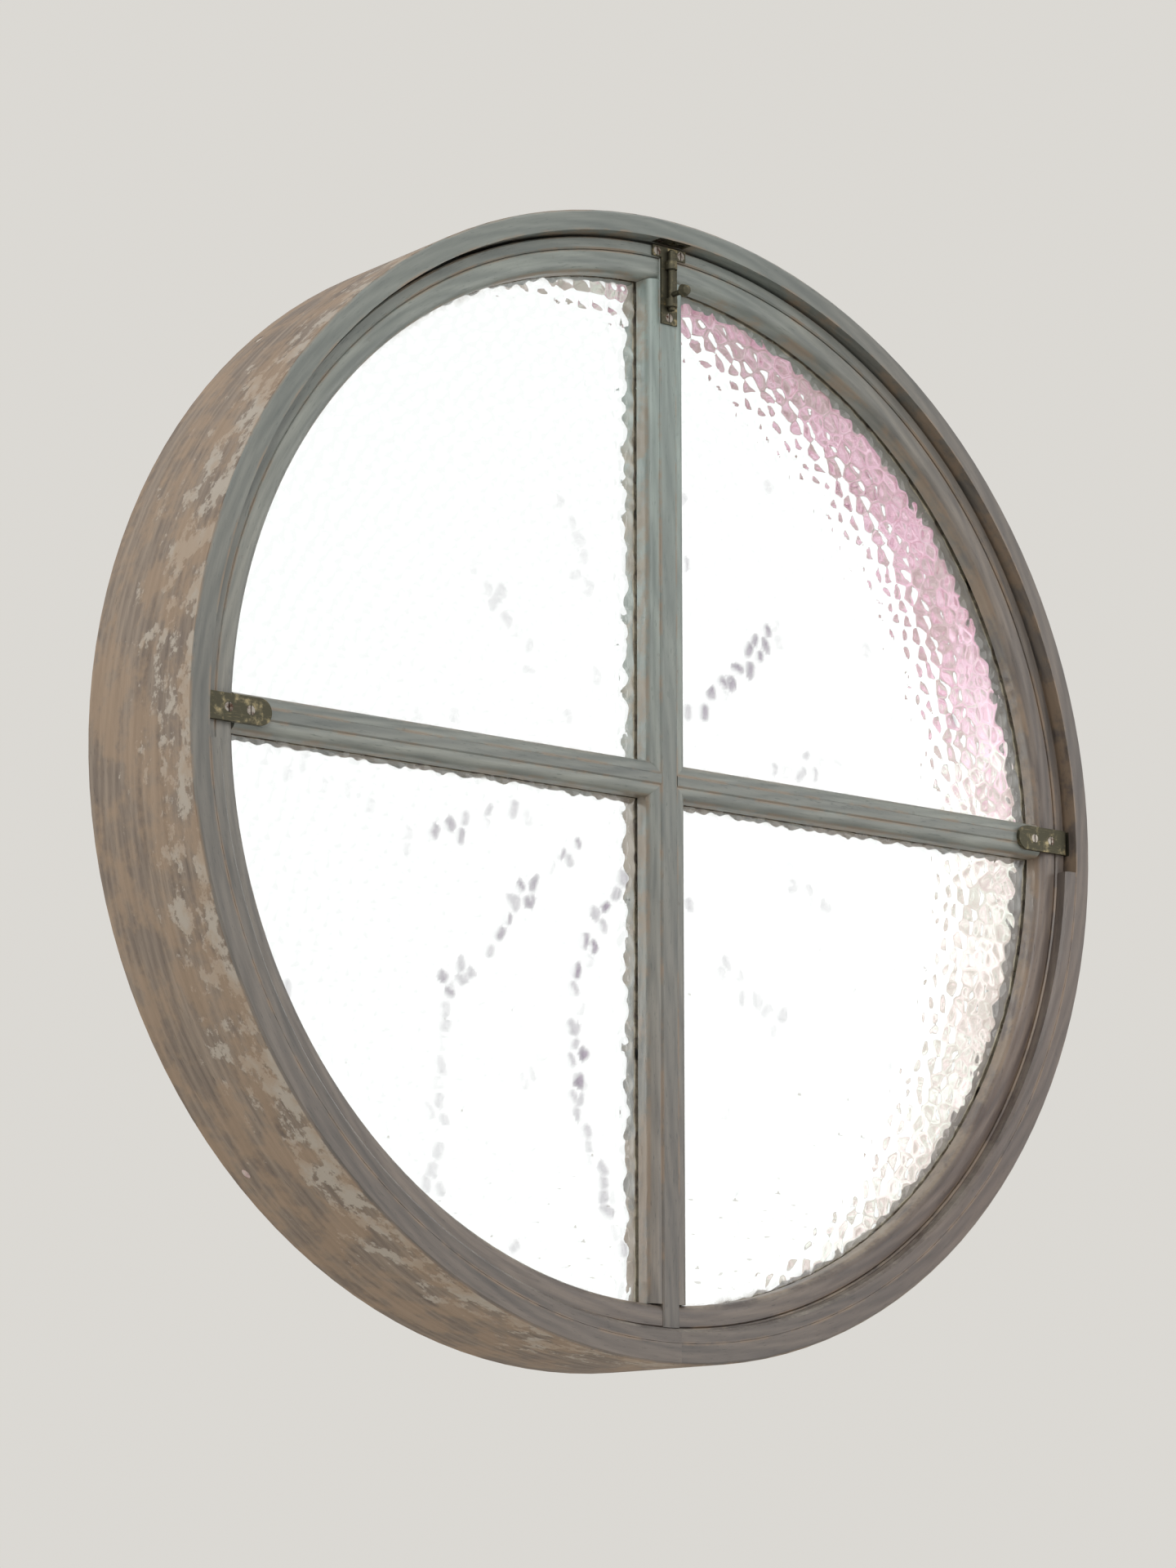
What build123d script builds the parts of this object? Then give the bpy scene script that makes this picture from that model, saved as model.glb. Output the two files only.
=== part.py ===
"""A round timber window: a centre-pivot sash with four panes, in a bent timber frame.

Lengths are in millimetres. X runs to the right as seen from the room, Y runs outwards and Z is up.
The origin is the middle of the window, on the axis of the two pivots.
"""

import os
from math import cos, radians, sin

from build123d import *

os.makedirs("parts", exist_ok=True)

# Fits
joint_gap = 0.2                 # glue line or shadow gap where two curved wooden faces meet
running_clearance = 0.05        # radial, between a stud or rod and its hole
screw_clearance = 0.1           # radial, between a screw and its hole
moving_gap = 0.3                # between faces that pass each other

# Sash
sight_radius = 300.0            # clear opening
rebate_width = 13.0             # from the sight line out to the wall of the rebate
sash_rim = 7.0                  # timber outside the rebate
sash_thickness = 30.0
outer_chamfer = 5.0             # on the weather side of the sash and its bars
arris = 0.8                     # rounding of the other edges

# Glass and what holds it
glass_thickness = 4.0
glass_margin = 2.5              # between the edge of a pane and the wood
glass_corner = 2.0
bedding_thickness = 1.0
bead_setback = 1.0              # bead below the face of the sash
bead_round = 5.0

# Glazing bars, a core with a wider flange behind the glass
upright_width = 27.0
upright_core = 12.0
level_width = 20.6
level_core = 7.0
tenon_length = 3.5
tenon_shoulder = 1.0            # each side of the tenon
tenon_depth = 10.0

# Frame
sash_gap = 2.0                  # between the rim of the sash and the hoop
hoop_thickness = 12.0
frame_depth = 100.0
hoop_chamfer = 1.5              # on the room side, where the hoop meets the wall
stop_thickness = 8.0
stop_cover = 6.0                # how far a stop reaches over the sash
stop_relief = 4.0               # past half the sash thickness, so that the edge of the sash can turn
fixing_radius = 3.0
fixing_sink_radius = 6.0
fixing_margin = 14.0            # from the weather edge of the hoop
fixing_angles = (45, 135, 225, 315)

# Pivots
strap_length = 34.0
strap_height = 15.0
strap_thickness = 2.5
strap_reach = 28.0              # of the leaf on the edge of the sash, from the room side
stud_radius = 4.0
stud_length = 11.0
stud_tip = 1.0
washer_radius = 6.0
socket_length = 34.0
socket_thickness = 2.5
socket_screw_spacing = 24.0
stud_hole_margin = 1.0          # around the stud, in the wood behind the socket
strap_screw_places = (14.0, 28.0)   # from the rim of the sash towards the middle
edge_screw_spacing = 18.0

# Bolt
rod_radius = 2.0
rod_length = 37.0
rod_setback = 2.5               # tip below the rim of the sash while drawn
plate_thickness = 1.2
plate_length = 47.0
plate_head_width = 25.0
plate_head_height = 6.5
plate_margin = 0.4              # between the head of the plate and the rim of the sash
guide_wall = 1.4
guide_length = 5.0
guide_places = (10.0, 33.0)     # lower edge of each guide, from the foot of the plate
knob_place = 17.5               # from the foot of the plate
knob_radius = 4.0
knob_stem_radius = 1.6
knob_stem = 5.0
plate_screw_place = 4.0         # lower screw, from the foot of the plate
plate_screw_spacing = 18.0      # between the two upper screws
keeper_width = 24.0
keeper_height = 9.0
keeper_thickness = 1.5
keeper_screw_spacing = 16.0
keeper_clearance = 0.4          # around the rod, in the keeper
rod_hole_margin = 0.8           # around the rod, in the wood behind the keeper
rod_hole_depth = 10.0

# Screws
screw_radius = 1.3
screw_head_radius = 2.6
screw_length = 10.0
screw_slot_width = 0.7
screw_slot_depth = 0.8

# Places that follow from the sizes
rebate_radius = sight_radius + rebate_width
sash_radius = rebate_radius + sash_rim
sash_room = -sash_thickness / 2
sash_outside = sash_thickness / 2
glass_room = -glass_thickness / 2
glass_back = glass_thickness / 2
rebate_face = glass_back + bedding_thickness
bead_depth = glass_room - sash_room - bead_setback
hoop_radius = sash_radius + sash_gap
frame_radius = hoop_radius + hoop_thickness
frame_room = sash_room - moving_gap - stop_thickness
frame_outside = frame_room + frame_depth
stop_end = sash_thickness / 2 + stop_relief
screw_head_depth = screw_head_radius - screw_radius
plate_face = sash_room - plate_thickness
rod_depth = plate_face - running_clearance - rod_radius
plate_top = sash_radius - plate_margin
plate_foot = plate_top - plate_length
rod_top = sash_radius - rod_setback

QUARTERS = {
    "upper_left": (-1, 1),
    "upper_right": (1, 1),
    "lower_left": (-1, -1),
    "lower_right": (1, -1),
}
SIDES = {"left": -1, "right": 1}


def face_plane(depth):
    """The plane across the window at this depth: what is extruded from it runs to the room."""
    return Plane.XZ.offset(-depth)


def save(piece, name):
    """Label a finished piece and write it under the name of its node."""
    piece.label = name
    export_step(piece, f"parts/{name}.step")


def in_quarter(piece, side, level):
    """The solid of a piece that lies in one quarter of the window."""
    return [s for s in piece.solids() if s.center().X * side > 0 and s.center().Z * level > 0][0]


def make_screw():
    """A countersunk screw along Z, with the top of its head at the origin."""
    with BuildPart() as screw:
        with BuildSketch(Plane.XZ):
            with BuildLine():
                Polyline(
                    (0, 0),
                    (screw_head_radius, 0),
                    (screw_radius, -screw_head_depth),
                    (screw_radius, -screw_length),
                    (0, -screw_length),
                    close=True,
                )
            make_face()
        revolve(axis=Axis.Z)
        with Locations((0, 0, -screw_slot_depth / 2)):
            Box(2 * screw_head_radius, screw_slot_width, screw_slot_depth, mode=Mode.SUBTRACT)
    return screw.part


def make_screws(planes):
    """One screw on each plane, which faces the way the head does."""
    screw = make_screw()
    with BuildPart() as screws:
        for plane in planes:
            add(plane.location * screw)
    return screws.part


def socket_screw_planes(side):
    """Where the screws of a pivot socket stand, on the inner face of the hoop."""
    places = (-socket_screw_spacing / 2, socket_screw_spacing / 2)
    return [Plane((side * hoop_radius, y, 0), z_dir=(-side, 0, 0)) for y in places]


def edge_screw_planes(side):
    """Where the screws of a pivot strap stand, on the edge of the sash."""
    places = (-edge_screw_spacing / 2, edge_screw_spacing / 2)
    return [Plane((side * sash_radius, y, 0), z_dir=(side, 0, 0)) for y in places]


def face_screw_planes(side):
    """Where the screws of a pivot strap stand, on the room side of the sash."""
    depth = sash_room - strap_thickness
    return [Plane((side * (sash_radius - x), depth, 0), z_dir=(0, -1, 0)) for x in strap_screw_places]


def keeper_screw_planes():
    """Where the screws of the keeper stand, on the inner face of the hoop at the top."""
    places = (-keeper_screw_spacing / 2, keeper_screw_spacing / 2)
    return [Plane((x, rod_depth, hoop_radius), z_dir=(0, 0, -1)) for x in places]


def plate_screw_planes():
    """Where the screws of the bolt stand, one in its foot and two in its head."""
    head_height = plate_top - plate_head_height / 2
    foot_height = plate_foot + plate_screw_place
    half = plate_screw_spacing / 2
    places = ((0, foot_height), (-half, head_height), (half, head_height))
    return [Plane((x, plate_face, z), z_dir=(0, -1, 0)) for x, z in places]


def cut_screw_holes(planes):
    """Countersunk holes for screws, in the piece that is being built."""
    for plane in planes:
        with Locations(plane.location):
            CounterSinkHole(
                screw_radius + screw_clearance,
                screw_head_radius + screw_clearance,
                depth=screw_length + screw_clearance,
            )


def make_sash_hoop():
    """The bent ring of the sash, with the rebate for the glass open to the room."""
    with BuildPart() as hoop:
        with BuildSketch(Plane.XY) as section:
            with BuildLine():
                Polyline(
                    (sight_radius, rebate_face),
                    (rebate_radius, rebate_face),
                    (rebate_radius, sash_room),
                    (sash_radius, sash_room),
                    (sash_radius, sash_outside),
                    (sight_radius, sash_outside),
                    close=True,
                )
            make_face()
            weather_edge = section.vertices().group_by(Axis.X)[0].sort_by(Axis.Y)[-1]
            chamfer(weather_edge, outer_chamfer)
            chamfer(section.vertices().group_by(Axis.Y)[0], arris)
        revolve(axis=Axis.Y)
        for side in (-1, 1):
            with Locations((0, tenon_middle(), side * rebate_radius)):
                Box(upright_core - 2 * tenon_shoulder, tenon_depth, 2 * tenon_length, mode=Mode.SUBTRACT)
            with Locations((side * rebate_radius, tenon_middle(), 0)):
                Box(2 * tenon_length, tenon_depth, level_core - 2 * tenon_shoulder, mode=Mode.SUBTRACT)
            leaf = sash_room + strap_reach / 2 - strap_thickness / 2
            with Locations((side * sash_radius, leaf, 0)):
                Box(2 * strap_thickness, strap_reach - strap_thickness, strap_height, mode=Mode.SUBTRACT)
            cut_screw_holes(edge_screw_planes(side) + face_screw_planes(side))
        cut_screw_holes(plate_screw_planes())
    return hoop.part


def tenon_middle():
    """Depth of the middle of the stub tenons, centred on the cores of the bars."""
    return (sash_room + rebate_face) / 2


def make_bar(width, core, upright):
    """A glazing bar of T section, its core open to the room and its flange behind the glass."""
    tenon = core - 2 * tenon_shoulder
    turn = 90 if upright else 0
    with BuildPart() as bar:
        with BuildSketch(face_plane(sash_outside)):
            Circle(sight_radius - joint_gap)
            Rectangle(2 * sight_radius, width, rotation=turn, mode=Mode.INTERSECT)
        extrude(amount=sash_outside - rebate_face)
        weather_edges = bar.faces().sort_by(Axis.Y)[-1].edges().filter_by(GeomType.LINE)
        chamfer(weather_edges, outer_chamfer)
        with BuildSketch(face_plane(rebate_face)):
            Circle(rebate_radius - joint_gap)
            Rectangle(2 * rebate_radius, core, rotation=turn, mode=Mode.INTERSECT)
        extrude(amount=rebate_face - sash_room)
        room_edges = bar.faces().sort_by(Axis.Y)[0].edges().filter_by(GeomType.LINE)
        chamfer(room_edges, arris)
        with BuildSketch(face_plane(tenon_middle() + tenon_depth / 2)):
            Rectangle(2 * (rebate_radius + tenon_length - joint_gap), tenon, rotation=turn)
        extrude(amount=tenon_depth)
    return bar.part


def make_bars():
    """The two bars, halved across each other: the upright one runs through on the room side."""
    lap = (rebate_face + sash_outside) / 2
    flange = sash_outside - lap
    with BuildPart() as upright:
        add(make_bar(upright_width, upright_core, True))
        with BuildSketch(face_plane(sash_outside)):
            Rectangle(upright_width, level_width)
        extrude(amount=flange, mode=Mode.SUBTRACT)
        cut_screw_holes(plate_screw_planes())
    with BuildPart() as level:
        add(make_bar(level_width, level_core, False))
        with BuildSketch(face_plane(lap)):
            Rectangle(upright_width, level_width)
        extrude(amount=lap - rebate_face, mode=Mode.SUBTRACT)
        with BuildSketch(face_plane(rebate_face)):
            Rectangle(upright_core, level_width)
        extrude(amount=rebate_face - sash_room, mode=Mode.SUBTRACT)
        for side in (-1, 1):
            cut_screw_holes(face_screw_planes(side) + edge_screw_planes(side))
    return upright.part, level.part


def make_panes():
    """Four quarter discs of glass, each clear of the wood around it."""
    with BuildPart() as panes:
        with BuildSketch(face_plane(glass_back)) as outline:
            Circle(rebate_radius - glass_margin)
            Rectangle(upright_core + 2 * glass_margin, 2 * rebate_radius, mode=Mode.SUBTRACT)
            Rectangle(2 * rebate_radius, level_core + 2 * glass_margin, mode=Mode.SUBTRACT)
            fillet(outline.vertices(), glass_corner)
        extrude(amount=glass_thickness)
    return panes.part


def make_bedding():
    """The bed between each pane and the rebate, cut back to the sight line."""
    with BuildPart() as bedding:
        with BuildSketch(face_plane(rebate_face)):
            Circle(rebate_radius - glass_margin)
            with BuildSketch(face_plane(rebate_face), mode=Mode.SUBTRACT):
                Circle(sight_radius)
                Rectangle(upright_width, 2 * rebate_radius, mode=Mode.SUBTRACT)
                Rectangle(2 * rebate_radius, level_width, mode=Mode.SUBTRACT)
            Rectangle(upright_core + 2 * glass_margin, 2 * rebate_radius, mode=Mode.SUBTRACT)
            Rectangle(2 * rebate_radius, level_core + 2 * glass_margin, mode=Mode.SUBTRACT)
        extrude(amount=bedding_thickness)
    return bedding.part


def make_curved_beads():
    """A ring of bead, turned whole and then sawn out at the cores of the bars."""
    with BuildPart() as ring:
        with BuildSketch(Plane.XY) as section:
            with Locations((sight_radius, glass_room)):
                Rectangle(rebate_width - joint_gap, bead_depth, align=(Align.MIN, Align.MAX))
            room_corners = section.vertices().group_by(Axis.Y)[0].sort_by(Axis.X)
            fillet(room_corners[0], bead_round)
            chamfer(section.vertices().group_by(Axis.Y)[0].sort_by(Axis.X)[-1], arris)
        revolve(axis=Axis.Y)
        Box(upright_core, 2 * sash_thickness, 2 * sash_radius, mode=Mode.SUBTRACT)
        Box(2 * sash_radius, 2 * sash_thickness, level_core, mode=Mode.SUBTRACT)
    return ring.part


def make_straight_bead(side, level, upright):
    """A bead along one bar: mitred at the crossing, scribed to the curved bead at its far end."""
    corner = Vector(side * upright_core / 2, 0, level * level_core / 2)
    run = Vector(side * (upright_width - upright_core) / 2, 0, level * (level_width - level_core) / 2)
    if upright:
        section_plane = Plane(origin=(corner.X, glass_room, 0), x_dir=(side, 0, 0), z_dir=(0, 0, level))
        keep_side = Vector(-side * abs(run.Z), 0, level * abs(run.X))
        width = abs(run.X)
    else:
        section_plane = Plane(origin=(0, glass_room, corner.Z), x_dir=(0, 0, level), z_dir=(side, 0, 0))
        keep_side = Vector(side * abs(run.Z), 0, -level * abs(run.X))
        width = abs(run.Z)
    towards_room = -1 if section_plane.y_dir.Y > 0 else 1
    with BuildPart() as bead:
        with BuildSketch(section_plane) as section:
            with Locations((width / 2, towards_room * bead_depth / 2)):
                Rectangle(width, bead_depth)
            open_corners = section.vertices().group_by(Axis.X)[-1].sort_by(Axis.Y)
            fillet(open_corners[-1 if towards_room > 0 else 0], bead_round)
        extrude(amount=sight_radius)
        split(bisect_by=Plane(origin=corner, z_dir=keep_side), keep=Keep.TOP)
        with BuildSketch(face_plane(glass_room)):
            Circle(sight_radius - joint_gap)
        extrude(amount=bead_depth, mode=Mode.INTERSECT)
    return bead.part


def make_frame_hoop():
    """The bent hoop that is built into the wall, with its holes and recesses."""
    with BuildPart() as hoop:
        with BuildSketch(Plane.XY) as section:
            with Locations((hoop_radius, frame_room)):
                Rectangle(hoop_thickness, frame_depth, align=(Align.MIN, Align.MIN))
            chamfer(section.vertices().group_by(Axis.Y)[0].sort_by(Axis.X)[-1], hoop_chamfer)
        revolve(axis=Axis.Y)
        for side in (-1, 1):
            with Locations((side * hoop_radius, 0, 0)):
                Box(2 * socket_thickness, socket_length, strap_height, mode=Mode.SUBTRACT)
            with Locations(Plane((side * hoop_radius, 0, 0), z_dir=(-side, 0, 0)).location):
                Hole(stud_radius + stud_hole_margin, depth=stud_length - sash_gap + stud_hole_margin)
            cut_screw_holes(socket_screw_planes(side))
        with Locations((0, rod_depth, hoop_radius)):
            Box(keeper_width, keeper_height, 2 * keeper_thickness, mode=Mode.SUBTRACT)
        with Locations(Plane((0, rod_depth, hoop_radius), z_dir=(0, 0, -1)).location):
            Hole(rod_radius + rod_hole_margin, depth=rod_hole_depth)
        cut_screw_holes(keeper_screw_planes())
        for angle in fixing_angles:
            out = Vector(cos(radians(angle)), 0, sin(radians(angle)))
            place = out * hoop_radius + Vector(0, frame_outside - fixing_margin, 0)
            with Locations(Plane(origin=place, z_dir=out * -1).location):
                CounterSinkHole(fixing_radius, fixing_sink_radius, depth=2 * hoop_thickness)
    return hoop.part


def make_stop(outer_depth, level):
    """A half ring planted in the hoop, cut back at the pivots."""
    with BuildPart() as stop:
        with BuildSketch(face_plane(outer_depth)):
            Circle(hoop_radius - joint_gap)
            Circle(sash_radius - stop_cover, mode=Mode.SUBTRACT)
        extrude(amount=stop_thickness)
        inner_edges = stop.edges().filter_by(GeomType.CIRCLE).group_by(SortBy.RADIUS)[0]
        chamfer(inner_edges.sort_by(Axis.Y)[0 if level < 0 else -1], 2 * arris)
        split(bisect_by=Plane.XY.offset(level * stop_end), keep=Keep.TOP if level > 0 else Keep.BOTTOM)
    return stop.part


def make_pivot_socket(side):
    """The plate let into the hoop, in which the stud of the sash turns."""
    with BuildPart() as socket:
        with Locations((side * (hoop_radius + socket_thickness / 2), 0, 0)):
            Box(socket_thickness, socket_length, strap_height)
        with Locations(Plane((side * hoop_radius, 0, 0), z_dir=(-side, 0, 0)).location):
            Hole(stud_radius + running_clearance, depth=2 * socket_thickness)
        cut_screw_holes(socket_screw_planes(side))
    return socket.part


def make_pivot_strap(side):
    """A cranked strap: one leaf on the face of the sash, one let into its edge, and the stud."""
    leaf_middle = sash_radius - strap_length / 2
    with BuildPart() as strap:
        with BuildSketch(face_plane(sash_room)):
            with Locations((side * leaf_middle, 0)):
                Rectangle(strap_length, strap_height)
            with Locations((side * (sash_radius - strap_length), 0)):
                Circle(strap_height / 2)
        extrude(amount=strap_thickness)
        edge_leaf = (side * (sash_radius - strap_thickness / 2), sash_room - strap_thickness, 0)
        with Locations(edge_leaf):
            Box(strap_thickness, strap_reach, strap_height, align=(Align.CENTER, Align.MIN, Align.CENTER))
        bend = strap.edges().filter_by(Axis.Z).group_by(Axis.Y)[0].sort_by(Axis.X)
        fillet(bend[-1 if side > 0 else 0], strap_thickness * 0.8)
        with BuildSketch(Plane((side * sash_radius, 0, 0), z_dir=(side, 0, 0))):
            Circle(stud_radius)
        extrude(amount=stud_length)
        tip = strap.faces().sort_by(Axis.X)[-1 if side > 0 else 0]
        chamfer(tip.edges(), stud_tip)
        cut_screw_holes(edge_screw_planes(side) + face_screw_planes(side))
    return strap.part


def make_friction_washer(side):
    """The washer on the stud, between the strap and the socket."""
    with BuildPart() as washer:
        with BuildSketch(Plane((side * sash_radius, 0, 0), z_dir=(side, 0, 0))):
            Circle(washer_radius)
            Circle(stud_radius + running_clearance, mode=Mode.SUBTRACT)
        extrude(amount=sash_gap - moving_gap)
    return washer.part


def make_bolt_plate():
    """The back plate of the bolt, with its two guides."""
    guide_radius = rod_radius + running_clearance + guide_wall
    with BuildPart() as plate:
        with BuildSketch(face_plane(sash_room)):
            with Locations((0, plate_foot)):
                Rectangle(upright_core, plate_length, align=(Align.CENTER, Align.MIN))
            with Locations((0, plate_top)):
                Rectangle(plate_head_width, plate_head_height, align=(Align.CENTER, Align.MAX))
        extrude(amount=plate_thickness)
        for place in guide_places:
            with BuildSketch(Plane.XY.offset(plate_foot + place)):
                with Locations((0, rod_depth)):
                    Circle(guide_radius)
                    Rectangle(2 * guide_radius, sash_room - rod_depth, align=(Align.CENTER, Align.MIN))
                with Locations((0, sash_room)):
                    Rectangle(
                        2 * guide_radius, guide_radius, align=(Align.CENTER, Align.MIN), mode=Mode.SUBTRACT
                    )
            extrude(amount=guide_length)
        with BuildSketch(Plane.XY.offset(plate_foot)):
            with Locations((0, rod_depth)):
                Circle(rod_radius + running_clearance)
        extrude(amount=plate_length, mode=Mode.SUBTRACT)
        cut_screw_holes(plate_screw_planes())
    return plate.part


def make_bolt_rod():
    """The sliding rod of the bolt with its turned knob, in its drawn place."""
    knob_height = plate_foot + knob_place
    with BuildPart() as rod:
        with BuildSketch(Plane.XY.offset(rod_top)):
            with Locations((0, rod_depth)):
                Circle(rod_radius)
        extrude(amount=-rod_length)
        chamfer(rod.edges().filter_by(GeomType.CIRCLE), rod_radius / 4)
        with BuildSketch(Plane((0, rod_depth, knob_height), x_dir=(0, 0, 1), z_dir=(1, 0, 0))) as turned:
            with BuildLine():
                knob_middle = rod_radius + knob_stem + knob_radius
                Polyline(
                    (0, 0),
                    (knob_stem_radius, 0),
                    (knob_stem_radius, knob_middle - knob_radius * 0.9),
                    (knob_radius, knob_middle),
                    (knob_radius * 0.7, knob_middle + knob_radius * 0.8),
                    (0, knob_middle + knob_radius),
                    close=True,
                )
            make_face()
        revolve(axis=Axis((0, rod_depth, knob_height), (0, 1, 0)))
    return rod.part


def make_bolt_keeper():
    """The strike plate let into the hoop, with the hole for the rod."""
    with BuildPart() as keeper:
        with Locations((0, rod_depth, hoop_radius + keeper_thickness / 2)):
            Box(keeper_width, keeper_height, keeper_thickness)
        with Locations(Plane((0, rod_depth, hoop_radius), z_dir=(0, 0, -1)).location):
            Hole(rod_radius + keeper_clearance, depth=2 * keeper_thickness)
        cut_screw_holes(keeper_screw_planes())
    return keeper.part


save(make_frame_hoop(), "frame_hoop")
save(make_stop(sash_outside + moving_gap + stop_thickness, 1), "upper_stop")
save(make_stop(sash_room - moving_gap, -1), "lower_stop")
save(make_bolt_keeper(), "bolt_keeper")
save(make_screws(keeper_screw_planes()), "keeper_screws")
save(make_screws(socket_screw_planes(-1) + socket_screw_planes(1)), "socket_screws")

save(make_sash_hoop(), "sash_hoop")
upright_bar, level_bar = make_bars()
save(upright_bar, "vertical_bar")
save(level_bar, "horizontal_bar")
save(make_bedding(), "bedding_putty")

panes = make_panes()
curved_beads = make_curved_beads()
for quarter, (side, level) in QUARTERS.items():
    save(in_quarter(panes, side, level), f"pane_{quarter}")
    save(in_quarter(curved_beads, side, level), f"curved_bead_{quarter}")
    save(make_straight_bead(side, level, True), f"upright_bead_{quarter}")
    save(make_straight_bead(side, level, False), f"level_bead_{quarter}")

for name, side in SIDES.items():
    save(make_pivot_socket(side), f"pivot_socket_{name}")
    save(make_pivot_strap(side), f"pivot_strap_{name}")
    save(make_friction_washer(side), f"friction_washer_{name}")
strap_planes = [plane for side in (-1, 1) for plane in edge_screw_planes(side) + face_screw_planes(side)]
save(make_screws(strap_planes), "strap_screws")

save(make_bolt_plate(), "bolt_plate")
save(make_screws(plate_screw_planes()), "bolt_screws")
save(make_bolt_rod(), "bolt_rod")
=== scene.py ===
# %% [markdown]
# # A round timber window
#
# The window is a round sash that swings on two pivots inside a hoop of bent timber. The solids of
# the timber, the metal and the putty come from the frame file, at their true places. This lesson
# gives them their finishes, makes the pebbled glass, adds the heads of the small pins and nails,
# and sets up the light and the camera. Lengths are in metres, from the middle of the window: x is
# to the right, y is outwards, away from the room, and z is up.

import math
import random

import bpy
import numpy as np
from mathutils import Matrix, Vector


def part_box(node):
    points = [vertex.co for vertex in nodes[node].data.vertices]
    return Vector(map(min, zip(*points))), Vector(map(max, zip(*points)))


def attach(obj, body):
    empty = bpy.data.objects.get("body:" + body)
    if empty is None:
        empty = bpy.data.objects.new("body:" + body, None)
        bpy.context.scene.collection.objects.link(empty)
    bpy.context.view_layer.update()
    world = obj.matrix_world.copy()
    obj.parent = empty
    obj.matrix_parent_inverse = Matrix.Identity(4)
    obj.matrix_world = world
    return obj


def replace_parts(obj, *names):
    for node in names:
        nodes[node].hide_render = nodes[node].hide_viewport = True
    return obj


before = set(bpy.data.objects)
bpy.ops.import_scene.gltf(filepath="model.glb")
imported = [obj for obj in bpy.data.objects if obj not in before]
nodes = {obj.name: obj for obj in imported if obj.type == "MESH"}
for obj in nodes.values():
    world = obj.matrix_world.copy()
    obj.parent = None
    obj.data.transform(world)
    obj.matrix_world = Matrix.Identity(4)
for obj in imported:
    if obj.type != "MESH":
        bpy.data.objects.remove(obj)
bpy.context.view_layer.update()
print(len(nodes), "solids")

# %% [markdown]
# ## Small tools for the bench
#
# An operator in Blender works on everything that is selected. So each step first clears the
# selection, and then picks the faces or points it wants by their place.

# %% Selecting and finishing a mesh


def select_only(piece):
    """Make one object the selected and the active one."""
    bpy.ops.object.select_all(action="DESELECT")
    piece.select_set(True)
    bpy.context.view_layer.objects.active = piece


def fix_place(piece):
    """Put the object's place, turn and size into its mesh."""
    select_only(piece)
    bpy.ops.object.transform_apply(location=True, rotation=True, scale=True)


def points_of(piece):
    """The points of a mesh as rows of x, y and z."""
    found = np.zeros(len(piece.data.vertices) * 3)
    piece.data.vertices.foreach_get("co", found)
    return found.reshape(-1, 3)


def select_faces(piece, wanted):
    """Select the faces that a test picks, and nothing else."""
    for item in (*piece.data.vertices, *piece.data.edges):
        item.select = False
    for face in piece.data.polygons:
        face.select = wanted(face)


def run_modifier(piece, kind, **settings):
    """Add a modifier, set it and apply it."""
    select_only(piece)
    modifier = piece.modifiers.new(kind.lower(), kind)
    for name, value in settings.items():
        setattr(modifier, name, value)
    bpy.ops.object.modifier_apply(modifier=modifier.name)


print("the tools are ready")

# %% [markdown]
# ## Wiring shader nodes
#
# A finish is a small network of nodes. It could be wired by hand in the shader editor, but a few
# short helpers keep the wiring readable here: one adds a node and feeds its sockets with numbers,
# colours or links, and the others calculate, mix colours, make noise and measure places.

# %% Adding, feeding and mixing nodes


def colour(red, green, blue):
    """A colour as it looks on a screen, turned into the linear values that shaders use."""
    parts = [c / 12.92 if c <= 0.04045 else ((c + 0.055) / 1.055) ** 2.4 for c in (red, green, blue)]
    return (*parts, 1.0)


def feed(tree, socket, value):
    """Set a socket to a value, or link it where the value is an output socket."""
    if isinstance(value, bpy.types.NodeSocket):
        tree.links.new(value, socket)
    else:
        socket.default_value = value


def add_node(tree, kind, inputs=None, **settings):
    """Add a node, set it, and feed its inputs."""
    node = tree.nodes.new(kind)
    for name, value in settings.items():
        setattr(node, name, value)
    for key, value in (inputs or {}).items():
        feed(tree, node.inputs[key], value)
    return node


def calc(tree, operation, *values):
    """Arithmetic on values and sockets."""
    return add_node(tree, "ShaderNodeMath", dict(enumerate(values)), operation=operation).outputs[0]


def blend_colours(tree, amount, first, second):
    """Mix two colours by an amount."""
    node = add_node(tree, "ShaderNodeMix", {"Factor": amount}, data_type="RGBA")
    for socket, value in zip([s for s in node.inputs if s.type == "RGBA"], (first, second)):
        feed(tree, socket, value)
    return [s for s in node.outputs if s.type == "RGBA"][0]


def scaled(tree, amounts, factor):
    """A vector or a colour times a factor."""
    inputs = {0: amounts, "Scale": factor}
    return add_node(tree, "ShaderNodeVectorMath", inputs, operation="SCALE").outputs[0]


print("nodes can be added and fed")

# %% Steps, noise, relief and places


def soft_step(tree, value, low, high):
    """0 below low, 1 above high, and smooth between them. High may be the smaller one."""
    node = add_node(
        tree, "ShaderNodeMapRange", {"Value": value, "From Min": low, "From Max": high},
        interpolation_type="SMOOTHSTEP",
    )
    return node.outputs["Result"]


def noise(tree, where, scale, detail=2.0, roughness=0.5, distortion=0.0):
    """Cloudy noise from 0 to 1."""
    return add_node(tree, "ShaderNodeTexNoise", {
        "Vector": where, "Scale": scale, "Detail": detail, "Roughness": roughness,
        "Distortion": distortion,
    }).outputs["Fac"]


def relief(tree, height, strength, distance):
    """Fine unevenness in the shading, from a height."""
    return add_node(tree, "ShaderNodeBump", {
        "Height": height, "Strength": strength, "Distance": distance,
    }).outputs[0]


def piece_place(tree):
    """The place of each point, in the piece's own coordinates."""
    return add_node(tree, "ShaderNodeTexCoord").outputs["Object"]


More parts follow.
